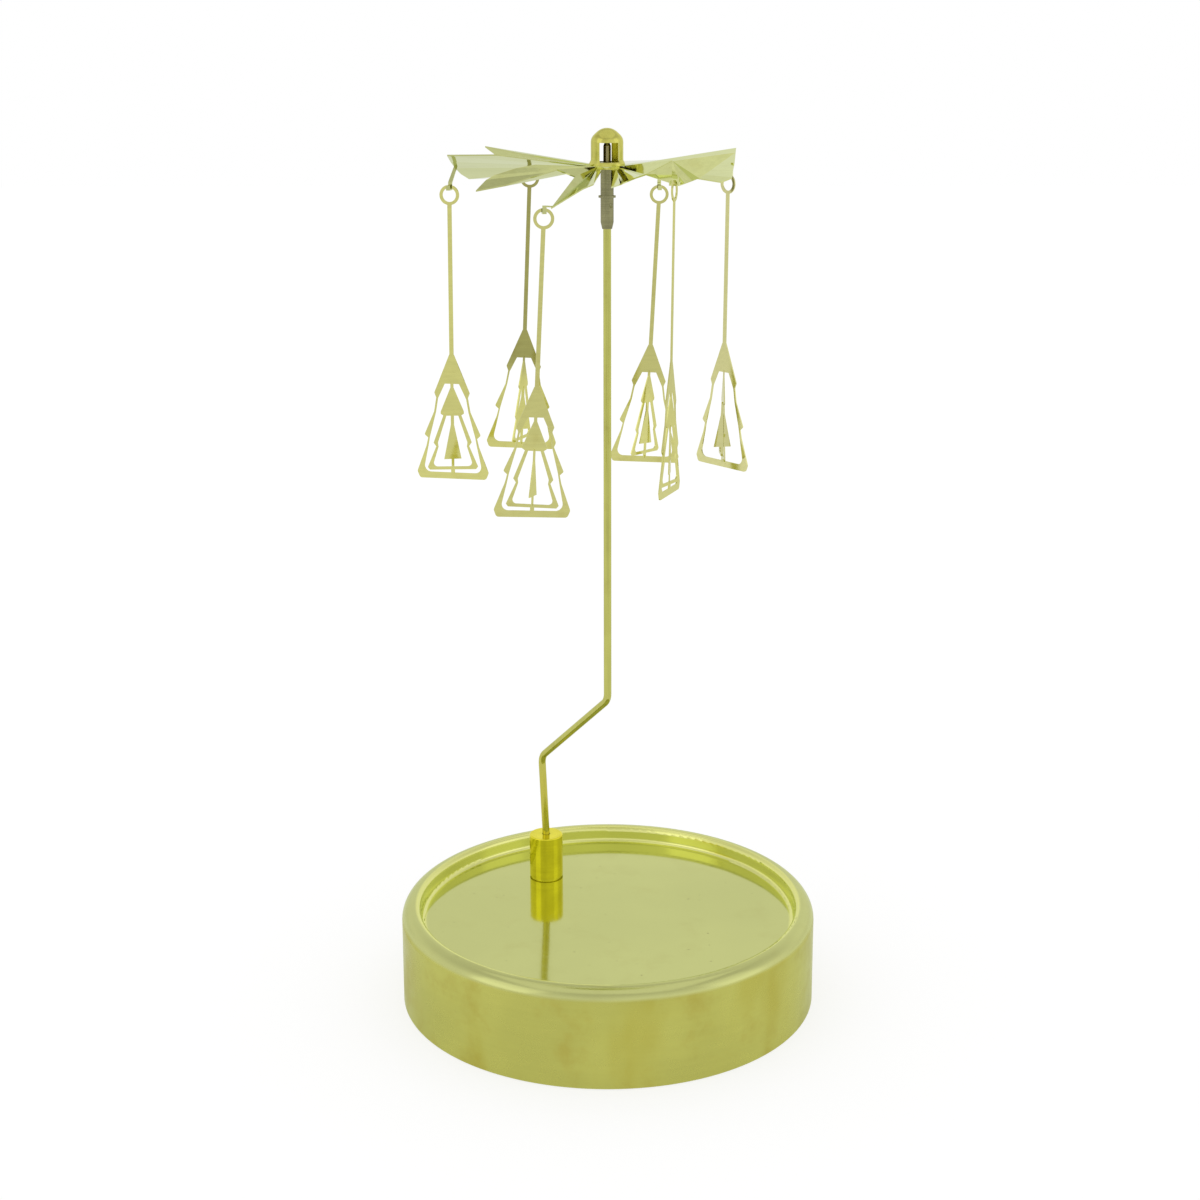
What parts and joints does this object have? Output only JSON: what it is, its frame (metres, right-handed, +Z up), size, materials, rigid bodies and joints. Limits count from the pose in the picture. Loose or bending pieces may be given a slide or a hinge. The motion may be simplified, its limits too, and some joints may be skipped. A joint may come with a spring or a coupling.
{
  "type": "angel chime carousel",
  "caption": "Candle-driven carousel: round recessed base, bent rod with a needle point, and a creased sheet fan on a bullet cap that carries swinging tree pendants.",
  "frame": {"origin": "middle of the base's underside, where it rests on a table", "axes": "+Z up along the rod and the fan's axis, -Y towards the side the picture was taken from, +X to the right in it"},
  "size_m": [0.1, 0.1, 0.208],
  "materials": {
    "base_brass": "polished tray and rim, satin side",
    "closure_steel": "zinc plated",
    "collar_brass": "turned and polished",
    "fastener_steel": "zinc plated",
    "rod_brass": "bright drawn wire",
    "sleeve_steel": "dull olive grey",
    "needle_steel": "hardened point",
    "cap_brass": "mirror polished",
    "cup_brass": "plain",
    "fan_brass": "mirror bright sheet",
    "pendant_brass": "bright stamped sheet"
  },
  "bodies": {
    "stand": {"base_shell": "base_brass", "base_plate": "closure_steel", "post_collar": "collar_brass", "collar_washer": "fastener_steel", "collar_screw": "fastener_steel", "rod": "rod_brass", "needle_sleeve": "sleeve_steel", "needle": "needle_steel"},
    "rotor": {"rotor_cap": "cap_brass", "pivot_cup": "cup_brass", "rotor_fan": "fan_brass"},
    "pendant_1": {"tree_pendant_1": "pendant_brass"},
    "pendant_2": {"tree_pendant_2": "pendant_brass"},
    "pendant_3": {"tree_pendant_3": "pendant_brass"},
    "pendant_4": {"tree_pendant_4": "pendant_brass"},
    "pendant_5": {"tree_pendant_5": "pendant_brass"},
    "pendant_6": {"tree_pendant_6": "pendant_brass"}
  },
  "joints": [
    {"name": "rotor_spin", "type": "hinge", "parent": "stand", "child": "rotor", "pos_m": [0, 0, 0.20595], "axis": [0, 0, 1], "continuous": true},
    {"name": "swing_1", "type": "hinge", "parent": "rotor", "child": "pendant_1", "pos_m": [0.02719, 0.00047, 0.19695], "axis": [-0.7547, -0.6561, 0], "range_deg": [-12, 12]},
    {"name": "swing_2", "type": "hinge", "parent": "rotor", "child": "pendant_2", "pos_m": [0.01247, 0.02674, 0.19279], "axis": [0.0698, -0.9976, 0], "range_deg": [-12, 12]},
    {"name": "swing_3", "type": "hinge", "parent": "rotor", "child": "pendant_3", "pos_m": [-0.01824, 0.02421, 0.19679], "axis": [0, -1, 0], "range_deg": [-12, 12]},
    {"name": "swing_4", "type": "hinge", "parent": "rotor", "child": "pendant_4", "pos_m": [-0.03536, -0.00123, 0.19463], "axis": [-0.1736, -0.9848, 0], "range_deg": [-12, 12]},
    {"name": "swing_5", "type": "hinge", "parent": "rotor", "child": "pendant_5", "pos_m": [-0.0134, -0.02629, 0.19135], "axis": [0.1392, -0.9903, 0], "range_deg": [-12, 12]},
    {"name": "swing_6", "type": "hinge", "parent": "rotor", "child": "pendant_6", "pos_m": [0.0142, -0.028, 0.1973], "axis": [0.9563, -0.2924, 0], "range_deg": [-12, 12]}
  ]
}
